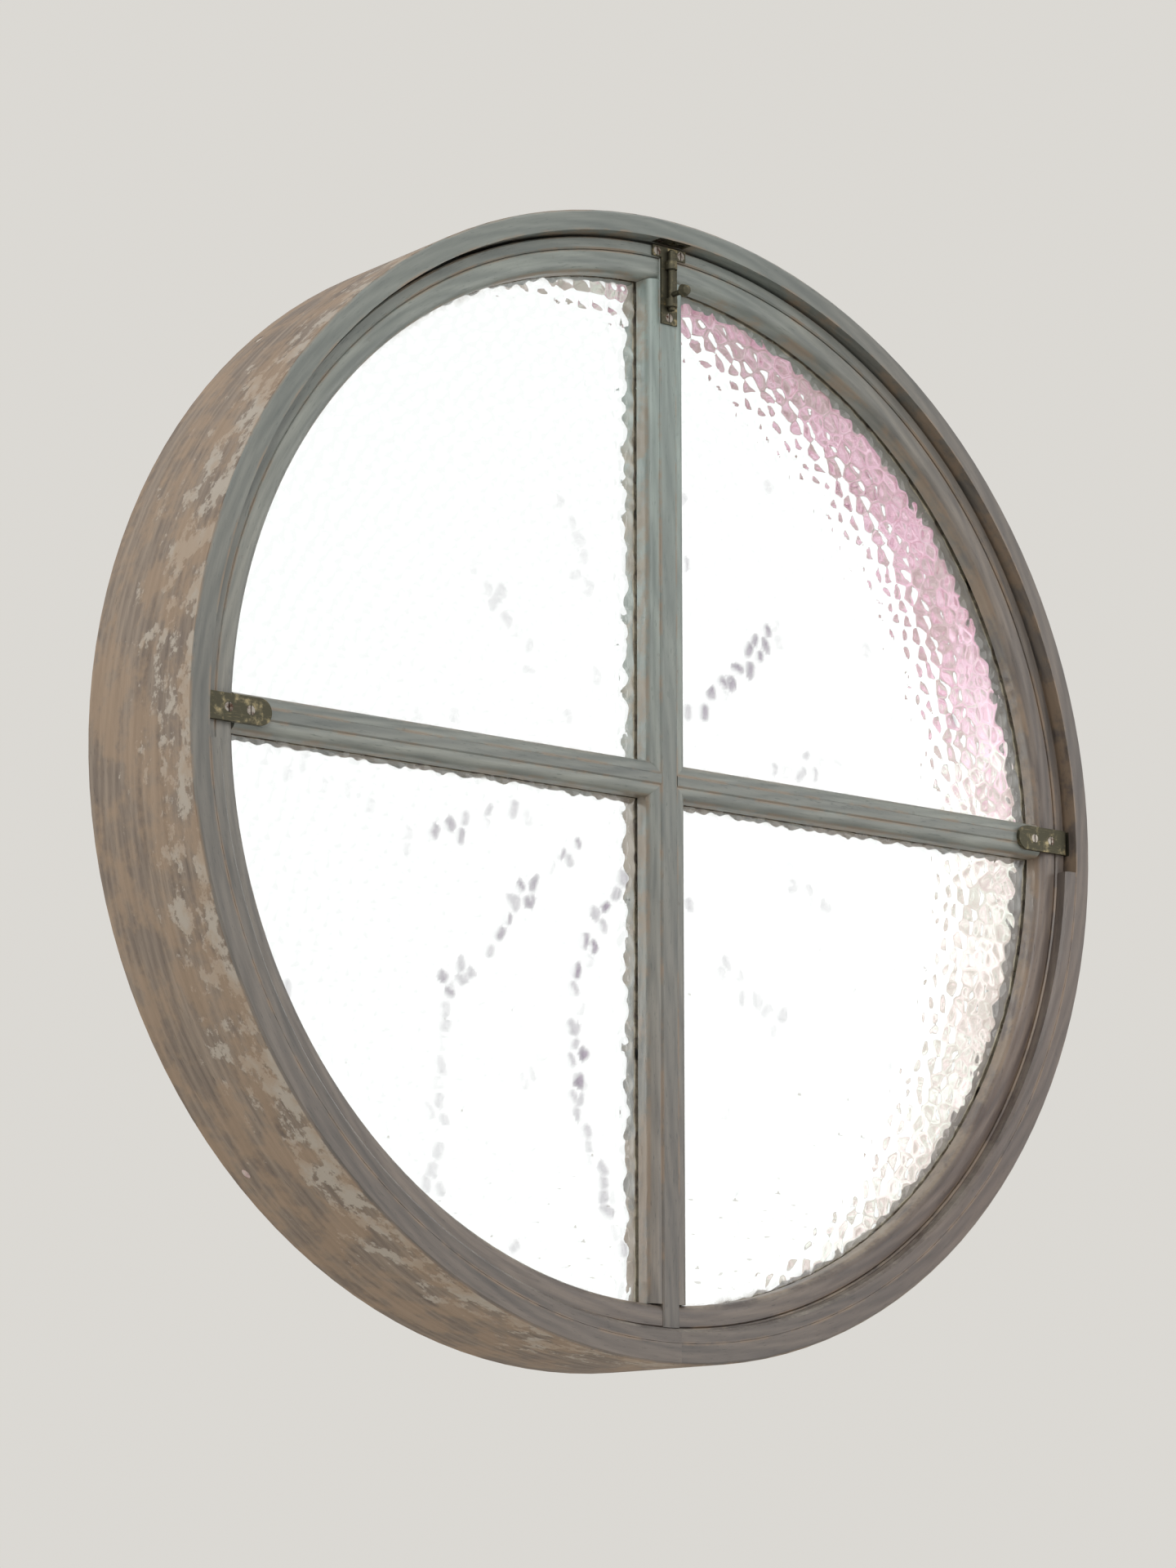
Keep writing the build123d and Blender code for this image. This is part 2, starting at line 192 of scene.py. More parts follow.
def place_and_reach(tree, where):
    """The parts of a place, and its distance from the middle line of the round window."""
    place = add_node(tree, "ShaderNodeSeparateXYZ", {0: where}).outputs
    squares = [calc(tree, "MULTIPLY", place[name], place[name]) for name in ("X", "Z")]
    return place, calc(tree, "SQRT", calc(tree, "ADD", *squares))


print("steps, noise and places can be wired")

# %% Groups and materials
NUMBER, TINT, ARROW = "NodeSocketFloat", "NodeSocketColor", "NodeSocketVector"


def new_group(name, takes, gives):
    """An empty node group with named inputs and outputs."""
    group = bpy.data.node_groups.new(name, "ShaderNodeTree")
    for label, (kind, start) in takes.items():
        socket = group.interface.new_socket(label, in_out="INPUT", socket_type=kind)
        if start is not None:
            socket.default_value = start
    for label, kind in gives.items():
        group.interface.new_socket(label, in_out="OUTPUT", socket_type=kind)
    return group, group.nodes.new("NodeGroupInput").outputs, group.nodes.new("NodeGroupOutput").inputs


def place_group(tree, name, inputs):
    """Put a group into a material, and feed its inputs."""
    return add_node(tree, "ShaderNodeGroup", inputs, node_tree=bpy.data.node_groups[name]).outputs


def empty_material(name):
    """A new material with nothing in it but its output. The last of the three is its surface socket."""
    material = bpy.data.materials.new(name)
    material.use_nodes = True
    tree = material.node_tree
    tree.nodes.clear()
    return material, tree, tree.nodes.new("ShaderNodeOutputMaterial").inputs["Surface"]


def close_finish(tree, surface, inputs):
    """Put the shader itself at the end of a finish."""
    feed(tree, surface, add_node(tree, "ShaderNodeBsdfPrincipled", inputs).outputs[0])


print("groups and materials can be made")

# %% [markdown]
# ## Timber that follows its own bend
#
# A picture of wood on a bent hoop would show straight grain and a seam, so the grain is worked out
# from the place of each point. A bent hoop keeps its grain along the bend, so the pattern needs the
# angle round the window and the distance from its middle in place of x and z. Straight bars run
# along z. The input called Ring chooses: 1 for bent timber and 0 for straight. The angle starts and
# ends at the foot of the window, where the two ends of a bent hoop meet.

# %% The way of the grain
ring_middle = 0.317  # distance at which the grain round the window has its true length
group, given, out = new_group(
    "timber_grain",
    {
        "Vector": (ARROW, None), "Ring": (NUMBER, 0.0), "Dark": (TINT, colour(0.2, 0.16, 0.14)),
        "Light": (TINT, colour(0.4, 0.36, 0.33)), "Seed": (NUMBER, 0.0),
    },
    {"Color": TINT, "Height": NUMBER, "Gloss": NUMBER},
)
place, reach = place_and_reach(group, given["Vector"])
round_way = calc(group, "MULTIPLY", calc(group, "ARCTAN2", place["X"], place["Z"]), ring_middle)


def pick(straight, bent):
    """The straight value where Ring is 0, and the bent one where it is 1."""
    return calc(group, "MULTIPLY_ADD", calc(group, "SUBTRACT", bent, straight), given["Ring"], straight)


across = pick(place["X"], reach)
along = pick(place["Z"], round_way)


def stretched(share):
    """The place on the piece with its length scaled down, so that a pattern comes out long."""
    length = calc(group, "MULTIPLY", calc(group, "ADD", along, given["Seed"]), share)
    return add_node(group, "ShaderNodeCombineXYZ", {0: across, 1: place["Y"], 2: length}).outputs[0]


print("the grain bends at", ring_middle, "m from the middle")

# %% [markdown]
# The grain itself is noise that is stretched along the piece, with finer fibres and short dark
# pores over it.

# %% Figure, fibres and pores
pore_colour = colour(0.09, 0.07, 0.06)
figure = noise(group, stretched(0.09), 95.0, detail=5.0, roughness=0.6, distortion=0.5)
bands = add_node(group, "ShaderNodeTexWave", {
    "Vector": stretched(0.12), "Scale": 85.0, "Distortion": 5.0, "Detail": 3.0, "Detail Scale": 1.6,
}, bands_direction="DIAGONAL").outputs["Fac"]
fibres = noise(group, stretched(0.03), 900.0, detail=3.0, roughness=0.7)
pores = soft_step(group, noise(group, stretched(0.1), 1500.0), 0.63, 0.72)
tone = calc(group, "ADD", calc(group, "MULTIPLY", soft_step(group, figure, 0.3, 0.7), 0.65),
            calc(group, "MULTIPLY", bands, 0.35))
body_colour = blend_colours(group, tone, given["Dark"], given["Light"])
shaded = scaled(group, body_colour, calc(group, "MULTIPLY_ADD", fibres, 0.5, 0.74))
feed(group, out["Color"], blend_colours(group, calc(group, "MULTIPLY", pores, 0.55), shaded, pore_colour))
feed(group, out["Height"], calc(group, "SUBTRACT", calc(group, "MULTIPLY", fibres, 0.5), pores))
feed(group, out["Gloss"], calc(group, "MULTIPLY_ADD", figure, 0.25, 0.3))
print("timber_grain has", len(group.nodes), "nodes")

# %% [markdown]
# ## Age: dust, painted glare and rubbed edges
#
# Dust settles on faces that look up, and gathers in patches. A grey with a trace of green is mixed
# into the colour as painted glare: strong towards the top of the window and weak at its foot, so that
# the lower part stays brown, and the grain still shows through. Hands and cloths rub the varnish thin
# along the edges of the pieces, which lie at known distances from the middle. All this could be
# painted on each piece, but one group that reads the place and the slope of a point does it for
# every timber piece in the same way. The input called Distance is how far a point is from the middle
# of the window, or from the middle line of a bar.

# %% The ageing and painted glare group
foot_and_top = (-0.3, 0.34)  # the heights between which the painted glare grows
edge_wear = (0.0016, 0.0003)  # distances from an edge at which wear starts and is full
# The grey-green is painted glare, mixed into the timber most towards the top.
glare_green, rubbed_wood = colour(0.54, 0.60, 0.58), colour(0.56, 0.47, 0.38)
dust_colour = colour(0.66, 0.63, 0.58)
group, given, out = new_group(
    "wear_dust_and_glare",
    {
        "Vector": (ARROW, None), "Color": (TINT, colour(0.4, 0.36, 0.33)), "Gloss": (NUMBER, 0.4),
        "Distance": (NUMBER, 0.3), "Edge A": (NUMBER, 0.3), "Edge B": (NUMBER, 0.32),
        "Dust": (NUMBER, 0.6), "Bleach": (NUMBER, 0.5),
    },
    {"Color": TINT, "Roughness": NUMBER},
)
place = add_node(group, "ShaderNodeSeparateXYZ", {0: given["Vector"]}).outputs
facing = add_node(group, "ShaderNodeSeparateXYZ", {
    0: add_node(group, "ShaderNodeNewGeometry").outputs["Normal"],
}).outputs
patches = noise(group, given["Vector"], 38.0, detail=6.0, roughness=0.65)
specks = noise(group, given["Vector"], 420.0, detail=3.0)

# Painted glare: a grey-green wash that grows towards the top of the window.
height = soft_step(group, place["Z"], *foot_and_top)
lightness = add_node(group, "ShaderNodeRGBToBW", {0: given["Color"]}).outputs[0]
glare_tint = scaled(group, glare_green[:3], calc(group, "MULTIPLY_ADD", lightness, 5.5, 0.64))
glare_amount = calc(group, "MULTIPLY", given["Bleach"], calc(group, "MULTIPLY_ADD", height, 0.75, 0.25))
glared = blend_colours(group, glare_amount, given["Color"], glare_tint)


def rub(edge):
    """1 on an edge, and 0 a little way from it."""
    gap = calc(group, "ABSOLUTE", calc(group, "SUBTRACT", given["Distance"], edge))
    return soft_step(group, gap, *edge_wear)


worn = calc(group, "MULTIPLY", calc(group, "MAXIMUM", rub(given["Edge A"]), rub(given["Edge B"])),
            soft_step(group, patches, 0.42, 0.6))
rubbed = blend_colours(group, calc(group, "MULTIPLY", worn, 0.6), glared, rubbed_wood)
upward = soft_step(group, facing["Z"], 0.15, 0.95)
drifts = soft_step(group, calc(group, "ADD", patches, calc(group, "MULTIPLY", specks, 0.3)), 0.5, 0.85)
dust = calc(group, "MULTIPLY", given["Dust"], calc(group, "MULTIPLY", upward, drifts))
feed(group, out["Color"], blend_colours(group, dust, rubbed, dust_colour))
feed(group, out["Roughness"], calc(group, "ADD", calc(group, "MULTIPLY_ADD", patches, 0.2, given["Gloss"]),
                                   calc(group, "MULTIPLY", dust, 0.3)))
print("wear_dust_and_glare has", len(group.nodes), "nodes")

# %% [markdown]
# ## The hoop and its three finishes
#
# The hoop is one piece with three finishes. It could be split into faces with a material each, but
# here they are told apart by their place, so the solid stays whole. Its room side is varnished. On
# the weather side it is painted pink over an older crimson, which shows in flecks. Below and on the
# left the paint is turned to a near white, as painted daylight where the sky lights the lining, so
# that the pink stays only at the upper right, and along the back rim the paint has flaked off down to
# the timber. From the room this side can be seen only through the glass, as a band of pink along the
# rim of the upper right pane. The outer face, which is hidden once the hoop is built in, is raw
# timber with traces of mortar.

# %% The hoop's three finishes
weather_start = (0.0155, 0.0161)  # y at which the varnish ends and the paint begins
back_rim = (0.0735, 0.0765)  # y over which the paint has flaked off
outer_face = (0.33345, 0.33385)  # distances from the middle at which the raw face begins
pink, crimson = (colour(0.84, 0.52, 0.67), colour(0.99, 0.84, 0.92)), colour(0.72, 0.20, 0.40)
# Painted daylight: the near white that the lining turns to where the sky lights it.
skylit_white = colour(0.94, 0.86, 0.85), colour(0.94, 0.95, 0.91)
raw_timber, mortar = (colour(0.36, 0.31, 0.27), colour(0.52, 0.46, 0.40)), colour(0.60, 0.56, 0.51)


def ring_grain(tree, where, shades, seed):
    """The colours of grain that runs round the window."""
    return place_group(tree, "timber_grain", {
        "Vector": where, "Ring": 1.0, "Dark": shades[0], "Light": shades[1], "Seed": seed,
    })["Color"]


def weather_paint(tree, where, place, flakes, seed):
    """Pink paint with crimson flecks, turned near white away from the upper right as painted daylight."""
    flecks = calc(tree, "MULTIPLY", soft_step(tree, flakes, 0.56, 0.62), 0.55)
    painted = blend_colours(tree, flecks, ring_grain(tree, where, pink, seed), crimson)
    # Painted daylight: the paint turns near white towards the foot and the left.
    skylit_amount = calc(tree, "MAXIMUM", calc(tree, "MULTIPLY_ADD", place["Z"], -5.0, 0.72),
                  calc(tree, "MULTIPLY_ADD", place["X"], -16.0, 0.85))
    skylit_amount = calc(tree, "ADD", skylit_amount, calc(tree, "MULTIPLY_ADD", flakes, 2.2, -1.1))
    skylit_paint = blend_colours(tree, soft_step(tree, flakes, 0.40, 0.62), *skylit_white)
    return blend_colours(tree, soft_step(tree, skylit_amount, 0.15, 0.75), painted, skylit_paint)


def built_in_hoop(tree, where, varnished, seed):
    """The hoop's colours by place, with masks of its room side and its outer face."""
    place, reach = place_and_reach(tree, where)
    flakes = noise(tree, where, 60.0, detail=7.0, roughness=0.7)
    raw = ring_grain(tree, where, raw_timber, seed + 7)
    flaked = calc(tree, "MULTIPLY", soft_step(tree, place["Y"], *back_rim),
                  calc(tree, "MULTIPLY_ADD", soft_step(tree, flakes, 0.36, 0.52), 0.5, 0.45))
    painted = blend_colours(tree, flaked, weather_paint(tree, where, place, flakes, seed + 3), raw)
    traces = calc(tree, "ADD", flakes, calc(tree, "MULTIPLY", place["Y"], -2.5))
    outside = blend_colours(tree, soft_step(tree, traces, 0.50, 0.56), raw, mortar)
    weather = soft_step(tree, place["Y"], *weather_start)
    outer = soft_step(tree, reach, *outer_face)
    inner = blend_colours(tree, weather, varnished, painted)
    room_side = calc(tree, "SUBTRACT", 1.0, calc(tree, "MAXIMUM", weather, outer))
    return blend_colours(tree, outer, inner, outside), room_side, outer


print("the hoop is painted from", weather_start[0], "m out")

# %% [markdown]
# ## The timber finishes
#
# Each timber piece gets its own finish, because its grain runs its own way: round the window in the
# hoops and curved beads, up in the upright bar and its beads, and sideways in the level ones. One
# function makes them all, so that they share their varnish, their age and their painted glare. The
# rings get less painted glare on the right, and are browner there.

# %% Making one timber finish
less_glare_side = (0.02, 0.28)  # x over which the rings lose most of their painted glare


def timber(name, way, shades, seed, edges, dust=0.6, glare=0.5, built_in=False):
    """A varnished timber finish with painted glare. Way is ring, up or side: which way the grain runs."""
    material, tree, surface = empty_material(name)
    where = piece_place(tree)
    turned = where
    if way == "side":
        turned = add_node(tree, "ShaderNodeMapping", {0: where, "Rotation": (0, math.pi / 2, 0)}).outputs[0]
    grain = place_group(tree, "timber_grain", {
        "Vector": turned, "Ring": 1.0 if way == "ring" else 0.0, "Dark": shades[0], "Light": shades[1],
        "Seed": seed,
    })
    place, distance = place_and_reach(tree, where)
    # Painted glare: the rings get less of it on the right.
    if way == "ring":
        less_glare = soft_step(tree, place["X"], *less_glare_side)
        glare = calc(tree, "MULTIPLY_ADD", less_glare, -0.65 * glare, glare)
    else:
        distance = calc(tree, "ABSOLUTE", place["X" if way == "up" else "Z"])
    ground, coat, matt = grain["Color"], 0.25, 0.0
    if built_in:
        ground, room_side, outer = built_in_hoop(tree, where, ground, seed)
        glare = calc(tree, "MULTIPLY", room_side, glare)
        dust = calc(tree, "MULTIPLY", room_side, dust)
        coat = calc(tree, "MULTIPLY", calc(tree, "SUBTRACT", 1.0, outer), coat)
        matt = calc(tree, "MULTIPLY", outer, 0.4)
    aged = place_group(tree, "wear_dust_and_glare", {
        "Vector": where, "Color": ground, "Gloss": grain["Gloss"], "Distance": distance,
        "Edge A": edges[0], "Edge B": edges[1], "Dust": dust, "Bleach": glare,
    })
    close_finish(tree, surface, {
        "Base Color": aged["Color"], "Roughness": calc(tree, "ADD", aged["Roughness"], matt),
        "Normal": relief(tree, grain["Height"], strength=0.45, distance=0.0003),
        "Coat Weight": coat, "Coat Roughness": 0.22,
    })
    return material


print("a timber finish can be made")

# %% Dressing the timber solids
dressed_solids = []


def dress(node, material):
    """Give a solid its finish through its own material slot."""
    slots = nodes[node].material_slots
    if len(slots) == 0:
        nodes[node].data.materials.append(material)
    for slot in slots:
        slot.material = material
    dressed_solids.append(node)


brown = colour(0.24, 0.18, 0.16), colour(0.42, 0.35, 0.31)
bead_brown = colour(0.28, 0.21, 0.19), colour(0.48, 0.40, 0.35)
# The edges that get rubbed, as distances from the middle of the window or of the bar.
hoop_edges, ring_edges, bead_edges = (0.322, 0.334), (0.313, 0.32), (0.3003, 0.3125)
upright_edges, level_edges = (0.006, 0.0135), (0.0035, 0.0103)

hoop_finish = timber("hoop_timber", "ring", brown, 1.0, hoop_edges, built_in=True)
for node in ("frame_hoop", "upper_stop", "lower_stop"):
    dress(node, hoop_finish)
dress("sash_hoop", timber("sash_timber", "ring", brown, 5.0, ring_edges))
dress("vertical_bar",
      timber("upright_bar_timber", "up", brown, 9.0, upright_edges, dust=0.4, glare=0.75))
dress("horizontal_bar", timber("level_bar_timber", "side", brown, 14.0, level_edges, glare=0.75))
bead_finishes = {
    "curved": timber("curved_bead_timber", "ring", bead_brown, 20.0, bead_edges, glare=0.55),
    "upright": timber("upright_bead_timber", "up", bead_brown, 26.0, upright_edges, dust=0.4, glare=0.82),
    "level": timber("level_bead_timber", "side", bead_brown, 31.0, level_edges, glare=0.82),
}
quarters = {"upper_left": (-1, 1), "upper_right": (1, 1), "lower_left": (-1, -1), "lower_right": (1, -1)}
for quarter in quarters:
    for kind, finish in bead_finishes.items():
        dress(f"{kind}_bead_{quarter}", finish)
print("timber solids dressed:", len(dressed_solids))

# %% [markdown]
# ## Old brass and dull steel
#
# The pivot straps, the sockets and the bolt are brass that has gone dark, and is bright only where
# it is rubbed. The screws are steel with a bloom of rust. Metal keeps its colour in its reflections,
# so a layer of paint over it would look wrong: the patina is mixed into the colour and the
# roughness together.

# %% Metal finishes
polished, dulled = 0.28, 0.62  # roughness of the bare metal and of the patina


def old_metal(name, bright, patina, low, high):
    """A metal whose bright ground shows where noise leaves the patina thin."""
    material, tree, surface = empty_material(name)
    where = piece_place(tree)
    cloud = noise(tree, where, 150.0, detail=6.0, roughness=0.7)
    flattened = add_node(tree, "ShaderNodeMapping", {0: where, "Scale": (0.08, 1, 1)}).outputs[0]
    scratches = calc(tree, "MULTIPLY", soft_step(tree, noise(tree, flattened, 2200.0), 0.6, 0.75), 0.35)
    cover = soft_step(tree, cloud, low, high)
    tint = blend_colours(tree, scratches, blend_colours(tree, cover, bright, patina), bright)
    close_finish(tree, surface, {
        "Base Color": tint, "Roughness": calc(tree, "MULTIPLY_ADD", cover, dulled - polished, polished),
        "Metallic": 1.0, "Normal": relief(tree, cloud, strength=0.25, distance=0.00015),
    })
    return material


brass = old_metal(
    "aged_brass_finish", colour(0.60, 0.55, 0.42), colour(0.32, 0.31, 0.26), low=0.25, high=0.50,
)
steel = old_metal(
    "dull_steel_finish", colour(0.52, 0.50, 0.47), colour(0.30, 0.21, 0.16), low=0.45, high=0.62,
)
timber_count = len(dressed_solids)
for side in ("left", "right"):
    for part in ("pivot_strap", "pivot_socket", "friction_washer"):
        dress(f"{part}_{side}", brass)
for node in ("bolt_plate", "bolt_rod", "bolt_keeper"):
    dress(node, brass)
for node in ("strap_screws", "socket_screws", "keeper_screws", "bolt_screws"):
    dress(node, steel)
print("metal solids dressed:", len(dressed_solids) - timber_count)

# %% [markdown]
# ## Hard putty
#
# The putty between glass and timber has dried hard, cracked and picked up dirt. Only a thin line of
# it shows, so noise for the dirt and the lines between cells for the cracks are enough.

# %% The putty
clean_putty, dirty_putty = colour(0.62, 0.58, 0.50), colour(0.38, 0.33, 0.29)


def hard_putty():
    """Putty with dirt in its colour and fine cracks in its surface."""
    material, tree, surface = empty_material("hard_putty_finish")
    where = piece_place(tree)
    dirt = noise(tree, where, 120.0, detail=6.0, roughness=0.7)
    cracks = add_node(tree, "ShaderNodeTexVoronoi", {"Vector": where, "Scale": 220.0},
                      feature="DISTANCE_TO_EDGE").outputs["Distance"]
    close_finish(tree, surface, {
        "Base Color": blend_colours(tree, soft_step(tree, dirt, 0.4, 0.65), clean_putty, dirty_putty),
        "Roughness": calc(tree, "MULTIPLY_ADD", dirt, 0.3, 0.6),
        "Normal": relief(tree, cracks, strength=0.3, distance=0.0003),
    })
    return material


dress("bedding_putty", hard_putty())
print("the putty is dressed")

# %% [markdown]
# ## Pebbled glass
#
# Each pane is rolled glass: flat outside, and covered with shallow pebbles about 11 mm across on
# the room side, so that one sees light and colour but no shapes. They could be a bump in the finish,
# but it is their own bend of the light that breaks up what lies behind, so they are real relief.
#
# The middles of the pebbles lie on a loose honeycomb. A point's depth depends on how far it is from
# the nearest middle, compared with the next nearest.

# %% The layout of the pebbles
random.seed(41)
pebble_spacing = 0.0112
pebble_loose = 0.36  # how far a middle may stray, as a share of the spacing
half_rows = 30
pane_corners = [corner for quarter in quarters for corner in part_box(f"pane_{quarter}")]
glass_radius = max(abs(v) for corner in pane_corners for v in (corner.x, corner.z))

middles = []
row_height = pebble_spacing * math.sqrt(3) / 2
for row in range(-half_rows, half_rows + 1):
    for column in range(-half_rows, half_rows + 1):
        x = (column + 0.5 * (row % 2) + random.uniform(-pebble_loose, pebble_loose)) * pebble_spacing
        z = (row + random.uniform(-pebble_loose, pebble_loose)) * row_height
        if math.hypot(x, z) < glass_radius + 2 * pebble_spacing:
            middles.append((x, z))
middles = np.array(middles)
print(len(middles), "pebbles, glass radius", round(glass_radius, 4))

# %% [markdown]
# Thin, dark things that lie behind such glass show only as broken strings, which fan out from near
# the crossing: each pebble is a small lens, and shows its own piece as a short, dark stroke or two.
# Each string is a bent line, and the pebbles that it passes get their strokes by chance. A few more
# pebbles are dark on their own. How dark a point is gets stored on the mesh, and the finish reads
# it from there, so the strokes stay with the glass when the sash turns.

# %% Where the dark strings and flecks are
strings = [
    # from x, z    middle x, z     to x, z        how dark
    ((-0.055, -0.040), (-0.105, -0.080), (-0.146, -0.132), 0.9),
    ((-0.146, -0.132), (-0.158, -0.185), (-0.155, -0.245), 0.45),
    ((-0.022, -0.060), (-0.066, -0.110), (-0.056, -0.175), 1.0),
    ((-0.056, -0.175), (-0.046, -0.215), (-0.026, -0.268), 0.7),
    ((-0.090, -0.028), (-0.135, -0.036), (-0.180, -0.056), 0.85),
    ((0.026, 0.044), (0.060, 0.070), (0.096, 0.104), 0.95),
    ((0.084, 0.020), (0.112, 0.026), (0.144, 0.030), 0.6),
    ((0.094, -0.040), (0.112, -0.048), (0.134, -0.056), 0.4),
    ((0.052, -0.102), (0.070, -0.114), (0.092, -0.130), 0.45),
    ((-0.084, 0.056), (-0.106, 0.078), (-0.126, 0.108), 0.4),
    ((-0.050, 0.104), (-0.058, 0.128), (-0.068, 0.156), 0.3),
    ((-0.198, -0.040), (-0.230, -0.025), (-0.268, -0.021), 0.2),
    ((-0.082, -0.164), (-0.090, -0.174), (-0.104, -0.184), 0.3),
]
single_flecks = [
    # x, z, how dark
    (0.022, 0.134, 0.7), (0.024, 0.172, 0.4), (0.095, 0.193, 0.35), (0.170, 0.100, 0.3),
    (0.236, 0.069, 0.6), (0.022, -0.070, 0.6), (0.050, -0.193, 0.2), (0.186, -0.150, 0.2),
    (-0.250, -0.146, 0.5), (-0.107, -0.272, 0.5), (-0.066, 0.032, 0.3), (-0.041, 0.060, 0.25),
    (-0.170, 0.021, 0.2), (-0.150, 0.023, 0.2),
]
print(len(strings), "strings and", len(single_flecks), "single flecks")

# %% Drawing the strokes
string_reach = 0.0062  # how near to a string a pebble's middle has to be
string_points = 60
usual_lean = 0.5  # of a stroke from the upright, in radians
half_lengths, stroke_widths = (0.0015, 0.0045), (0.0017, 0.0029)
most_aside = (0.0025, 0.0015)  # how far a stroke may lie from the middle of its pebble
strokes = []


def draw_strokes(index, depth):
    """One or two short strokes in a pebble, most of them near upright."""
    for _ in range(random.choice((1, 1, 2))):
        lean = random.gauss(0, usual_lean)
        half = np.array((math.sin(lean), math.cos(lean))) * random.uniform(*half_lengths)
        middle = middles[index] + np.array([random.uniform(-most, most) for most in most_aside])
        strokes.append((index, middle - half, middle + half, random.uniform(*stroke_widths), depth))


for first, bend, last, strength in strings:
    steps = np.linspace(0, 1, string_points)[:, None]
    line = (1 - steps) ** 2 * np.array(first) + steps**2 * np.array(last)
    line += 2 * steps * (1 - steps) * np.array(bend)
    gap = np.sqrt(((middles[:, None, :] - line[None, :, :]) ** 2).sum(2)).min(1)
    for index in np.flatnonzero(gap < string_reach):
        draw_strokes(index, strength * random.choice((0.3, 0.75, 1.0, 1.0)))
for x, z, strength in single_flecks:
    draw_strokes(int(np.hypot(middles[:, 0] - x, middles[:, 1] - z).argmin()), strength)
print(len(strokes), "dark strokes in", len({stroke[0] for stroke in strokes}), "pebbles")

# %% [markdown]
# A pane starts as a fine grid that stands in its quarter. The faces outside the circle are deleted,
# the points just outside it are drawn in to it, and a Solidify modifier gives the thickness. A cut
# with a cylinder would be quicker to write, but would leave long thin faces that don't take the
# pebbles well.

# %% Cutting one pane
pane_step = 0.0015


def cut_pane(quarter):
    """A flat pane, thickened, with its outline from the solid pane."""
    low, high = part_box(f"pane_{quarter}")
    size = high - low
    bpy.ops.object.select_all(action="DESELECT")
    bpy.ops.mesh.primitive_grid_add(
        x_subdivisions=round(size.x / pane_step), y_subdivisions=round(size.z / pane_step), size=1,
        location=((low.x + high.x) / 2, low.y, (low.z + high.z) / 2), rotation=(math.pi / 2, 0, 0),
    )
    pane = bpy.context.object
    pane.name = pane.data.name = f"pebbled_{quarter}"
    pane.scale = (size.x, size.z, 1)
    fix_place(pane)
    outside = [math.hypot(point.co.x, point.co.z) > glass_radius for point in pane.data.vertices]
    select_faces(pane, lambda face: all(outside[index] for index in face.vertices))
    bpy.ops.object.mode_set(mode="EDIT")
    bpy.ops.mesh.delete(type="FACE")
    bpy.ops.object.mode_set(mode="OBJECT")
    for point in pane.data.vertices:
        reach = math.hypot(point.co.x, point.co.z)
        if reach > glass_radius:
            point.co.x *= glass_radius / reach
            point.co.z *= glass_radius / reach
    run_modifier(pane, "SOLIDIFY", thickness=size.y, offset=-1.0)
    return pane


print("a pane is cut on a grid of", pane_step * 1000, "mm")

# %% [markdown]
# The room side is then pressed in between the pebbles by a Displace modifier, whose strength at each
# point comes from a vertex group. It only ever goes inwards, so the pane stays inside its solid.

# %% Pressing the pebbles
pebble_depth = 0.00115
skin = 0.0005  # points this near to the front are on the room side
batch = 4000  # points that are compared with all middles at once
stroke_end = 1.6  # in widths from its line: a stroke ends here, and is full one width nearer
rim_fade = 0.3  # how much a stroke pales at the rim of its pebble


def stroke_shade(spots, nearest):
    """How dark each spot of the glass is. A stroke ends at the edge of its own pebble."""
    shade = np.zeros(len(spots))
    for index, start, end, width, depth in strokes:
        own = np.flatnonzero(nearest == index)
        run = end - start
        along_it = np.clip((spots[own] - start) @ run / (run @ run), 0, 1)
        gap = np.linalg.norm(spots[own] - start - along_it[:, None] * run, axis=1)
        shade[own] = np.maximum(shade[own], depth * np.clip(stroke_end - gap / width, 0, 1))
    return shade


def press_pebbles(pane):
    """Press the room side in between the pebbles, and store where they are dark."""
    points = points_of(pane)
    room_side = np.flatnonzero(points[:, 1] < points[:, 1].min() + skin)
    sunk, shade = np.zeros(len(points)), np.zeros(len(points))
    for start in range(0, len(room_side), batch):
        part = room_side[start:start + batch]
        gaps = np.sqrt(((points[part][:, None, [0, 2]] - middles[None, :, :]) ** 2).sum(2))
        order = np.argpartition(gaps, 1, axis=1)[:, :2]
        pair = np.take_along_axis(gaps, order, 1)
        nearest = np.take_along_axis(order, pair.argmin(1)[:, None], 1)[:, 0]
        share = 2 * pair.min(1) / pair.sum(1)
        sunk[part] = share**2
        shade[part] = stroke_shade(points[part][:, [0, 2]], nearest) * (1 - rim_fade * share**2)
    group = pane.vertex_groups.new(name="between_pebbles")
    for index in room_side:
        group.add([int(index)], float(sunk[index]), "REPLACE")
    run_modifier(pane, "DISPLACE", direction="Y", mid_level=0.0, strength=pebble_depth,
                 vertex_group=group.name)
    layer = pane.data.attributes.new("dark_pebble", "FLOAT", "POINT")
    layer.data.foreach_set("value", shade.astype(np.float32))
    select_only(pane)
    bpy.ops.object.shade_smooth_by_angle(angle=math.radians(40))
    return len(room_side)


print("the pebbles are", pebble_depth * 1000, "mm deep")

# %% [markdown]
# The glass itself is clear with a trace of green. It darkens in a thin line where the glass meets the
# beads, near the sight line and along the bars: partly dirt that no cloth reaches, partly painted
# shade. The strokes tint it a dark mauve.

# %% The glass finish
# Where the dirt and painted shade start and where they are full: distances from the middle of the
# window, of the upright bar and of the level bar.
rim_dirt_and_shade, upright_dirt_and_shade, level_dirt_and_shade = (0.2945, 0.3005), (0.0185, 0.0135), (0.0150, 0.0103)
clear_glass, dirt_and_shade_colour = colour(0.985, 0.995, 0.99), colour(0.62, 0.56, 0.48)
stroke_colour = colour(0.26, 0.15, 0.28)


